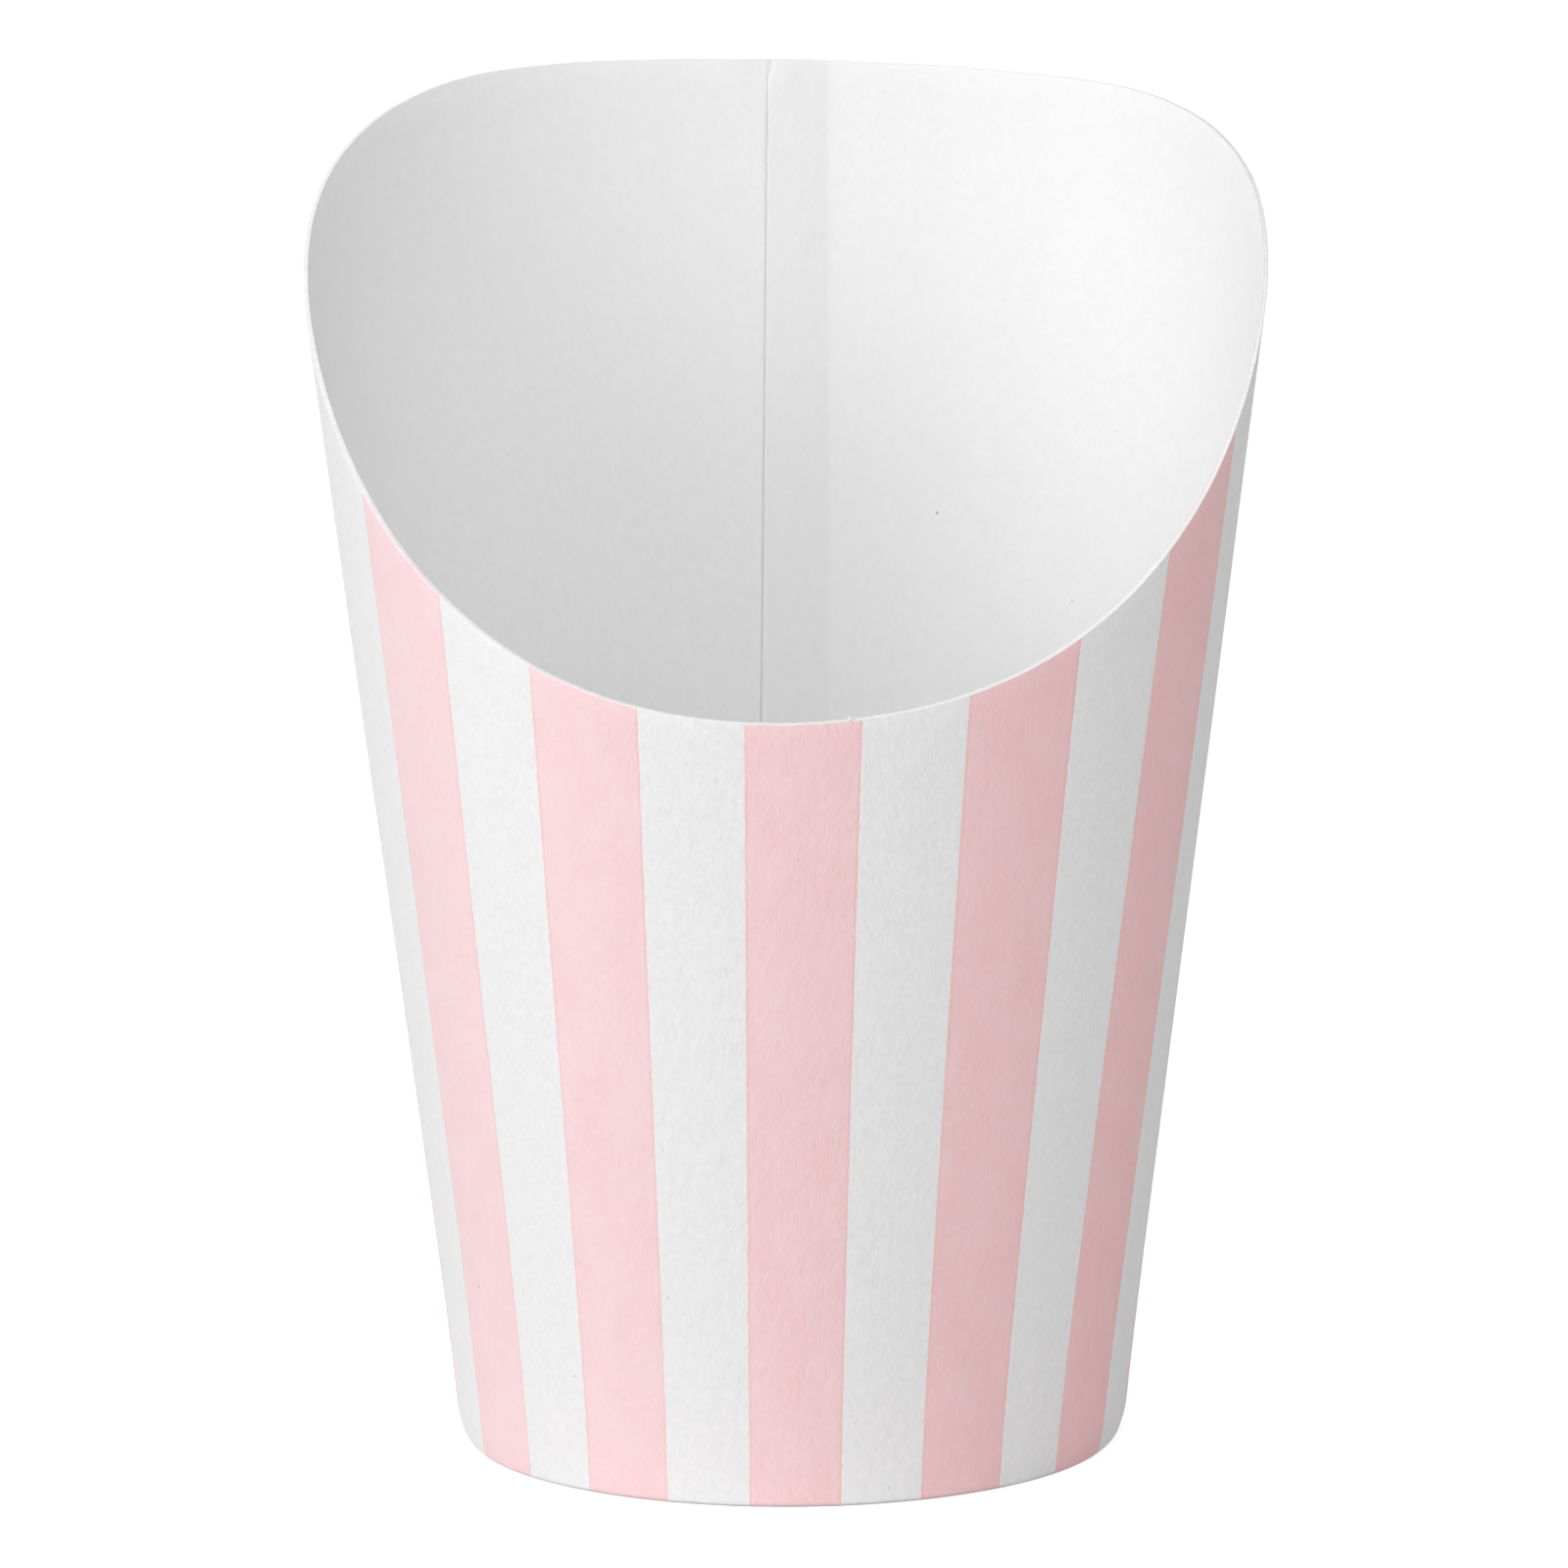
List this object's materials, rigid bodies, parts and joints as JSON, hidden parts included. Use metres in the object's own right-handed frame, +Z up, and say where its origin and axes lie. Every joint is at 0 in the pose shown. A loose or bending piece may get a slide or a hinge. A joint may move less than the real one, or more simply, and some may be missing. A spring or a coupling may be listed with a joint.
{
  "type": "french fries cup",
  "caption": "Round tapered paper cup with a low scooped lip, a tall back and a recessed base, for chips and other finger food.",
  "frame": {"origin": "middle of the cup's outline, on the surface it stands on", "axes": "+Z up, the low lip faces -Y, the tall back with its glued lap is at +Y"},
  "size_m": [0.0874, 0.0856, 0.1186],
  "materials": {
    "printed_board": "matte",
    "bare_board": "matte"
  },
  "bodies": {
    "root": {"side_wall": "printed_board", "base_disc": "bare_board"}
  },
  "joints": []
}
